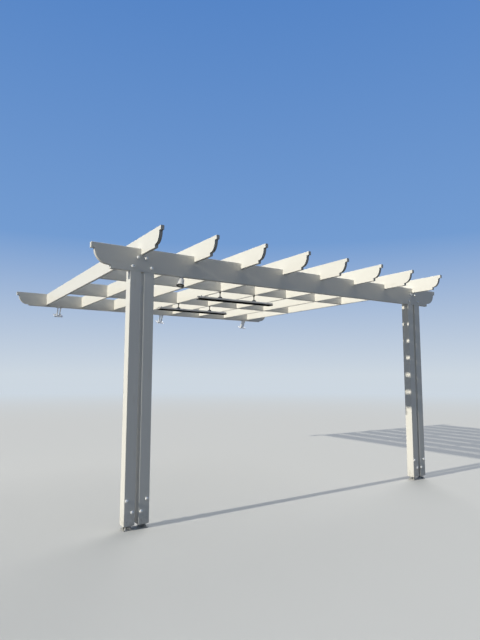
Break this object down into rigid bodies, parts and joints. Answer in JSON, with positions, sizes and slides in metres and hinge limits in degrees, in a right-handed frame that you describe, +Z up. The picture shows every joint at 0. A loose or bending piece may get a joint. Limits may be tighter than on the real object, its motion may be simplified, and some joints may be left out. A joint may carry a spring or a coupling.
{
  "type": "pergola",
  "caption": "Painted timber pergola with moulded beam and rafter ends, on twin posts in front and brackets above a roof behind.",
  "frame": {"origin": "underside of the left post's base plate, midway between its two legs", "axes": "+X along the beams to the right post, +Y back from the posts to the rear beam, +Z up"},
  "size_m": [5.22, 4.9575, 2.851],
  "materials": {
    "painted_timber": "warm off-white exterior paint, satin, over planed pine",
    "galvanised_steel": "hot-dip galvanised, dull with a soft spangle",
    "heater_housing": "satin silver-grey powder coat",
    "heater_panel": "matt black high-temperature coating",
    "hanger_steel": "dark grey powder coat",
    "spotlight_shell": "white powder coat",
    "spotlight_glass": "dark tinted lens, glossy"
  },
  "bodies": {
    "root": {"left_post_outer": "painted_timber", "left_post_inner": "painted_timber", "left_post_shoe": "galvanised_steel", "right_post_outer": "painted_timber", "right_post_inner": "painted_timber", "right_post_shoe": "galvanised_steel", "front_beam": "painted_timber", "rear_beam": "painted_timber", "rafter_1": "painted_timber", "rafter_2": "painted_timber", "rafter_3": "painted_timber", "rafter_4": "painted_timber", "rafter_5": "painted_timber", "rafter_6": "painted_timber", "rafter_7": "painted_timber", "rafter_8": "painted_timber", "row_1_noggin_1": "painted_timber", "row_1_noggin_2": "painted_timber", "row_1_noggin_3": "painted_timber", "row_1_noggin_4": "painted_timber", "row_1_noggin_5": "painted_timber", "row_1_noggin_6": "painted_timber", "row_1_noggin_7": "painted_timber", "row_2_noggin_1": "painted_timber", "row_2_noggin_2": "painted_timber", "row_2_noggin_3": "painted_timber", "row_2_noggin_4": "painted_timber", "row_2_noggin_5": "painted_timber", "row_2_noggin_6": "painted_timber", "row_2_noggin_7": "painted_timber", "roof_bracket_1": "galvanised_steel", "roof_bracket_2": "galvanised_steel", "roof_bracket_3": "galvanised_steel", "heater_1_housing": "heater_housing", "heater_1_panel": "heater_panel", "heater_1_hangers": "hanger_steel", "heater_2_housing": "heater_housing", "heater_2_panel": "heater_panel", "heater_2_hangers": "hanger_steel", "spotlight_body": "spotlight_shell", "spotlight_lens": "spotlight_glass"}
  },
  "joints": []
}
